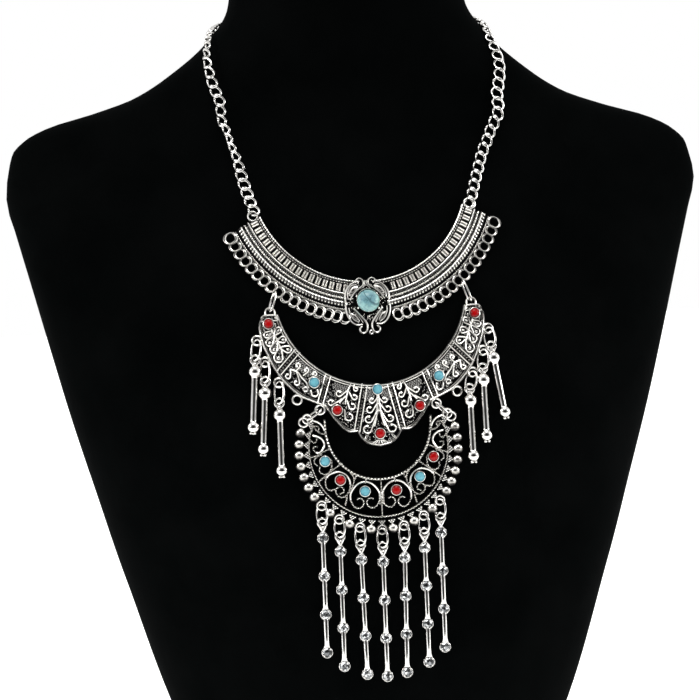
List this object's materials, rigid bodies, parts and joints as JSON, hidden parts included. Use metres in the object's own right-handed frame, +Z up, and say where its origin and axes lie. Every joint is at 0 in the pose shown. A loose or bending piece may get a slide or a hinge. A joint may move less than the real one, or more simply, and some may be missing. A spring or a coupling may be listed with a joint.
{
  "type": "bib necklace on neck bust",
  "caption": "Bib necklace of granulated silver in three crescents with turquoise and red stones and hanging drops, worn by a black velvet neck bust on its flat base.",
  "frame": {"origin": "centre of the bust's flat base, on the surface that it stands on", "axes": "+X to the viewer's right, -Y the front that shows the necklace, +Z up"},
  "size_m": [0.2812, 0.1126, 0.33],
  "materials": {
    "silver": "antique silver, bright on the high spots and blackened in the recesses",
    "velvet": "black velvet",
    "cabochon_stone": "polished turquoise with dark veins",
    "turquoise_stone": "polished sky-blue turquoise",
    "red_stone": "polished opaque red"
  },
  "bodies": {
    "root": {"cabochon": "cabochon_stone", "clasp": "silver", "hanger_ring_lower_left": "silver", "hanger_ring_lower_right": "silver", "hanger_ring_upper_left": "silver", "hanger_ring_upper_right": "silver", "jump_ring_long_drop_1": "silver", "jump_ring_long_drop_2": "silver", "jump_ring_long_drop_3": "silver", "jump_ring_long_drop_4": "silver", "jump_ring_long_drop_5": "silver", "jump_ring_long_drop_6": "silver", "jump_ring_long_drop_7": "silver", "jump_ring_rod_drop_left_1": "silver", "jump_ring_rod_drop_left_2": "silver", "jump_ring_rod_drop_left_3": "silver", "jump_ring_rod_drop_right_1": "silver", "jump_ring_rod_drop_right_2": "silver", "jump_ring_rod_drop_right_3": "silver", "long_drop_1": "silver", "long_drop_2": "silver", "long_drop_3": "silver", "long_drop_4": "silver", "long_drop_5": "silver", "long_drop_6": "silver", "long_drop_7": "silver", "lower_crescent": "silver", "lower_stone_1": "turquoise_stone", "lower_stone_2": "red_stone", "lower_stone_3": "turquoise_stone", "lower_stone_4": "red_stone", "lower_stone_5": "turquoise_stone", "lower_stone_6": "red_stone", "middle_crescent": "silver", "middle_stone_1": "red_stone", "middle_stone_2": "turquoise_stone", "middle_stone_3": "red_stone", "middle_stone_4": "red_stone", "middle_stone_5": "turquoise_stone", "middle_stone_6": "red_stone", "middle_stone_7": "turquoise_stone", "middle_stone_8": "red_stone", "neck_bust": "velvet", "neck_chain_left": "silver", "neck_chain_right": "silver", "rod_drop_left_1": "silver", "rod_drop_left_2": "silver", "rod_drop_left_3": "silver", "rod_drop_right_1": "silver", "rod_drop_right_2": "silver", "rod_drop_right_3": "silver", "upper_crescent": "silver"}
  },
  "joints": []
}
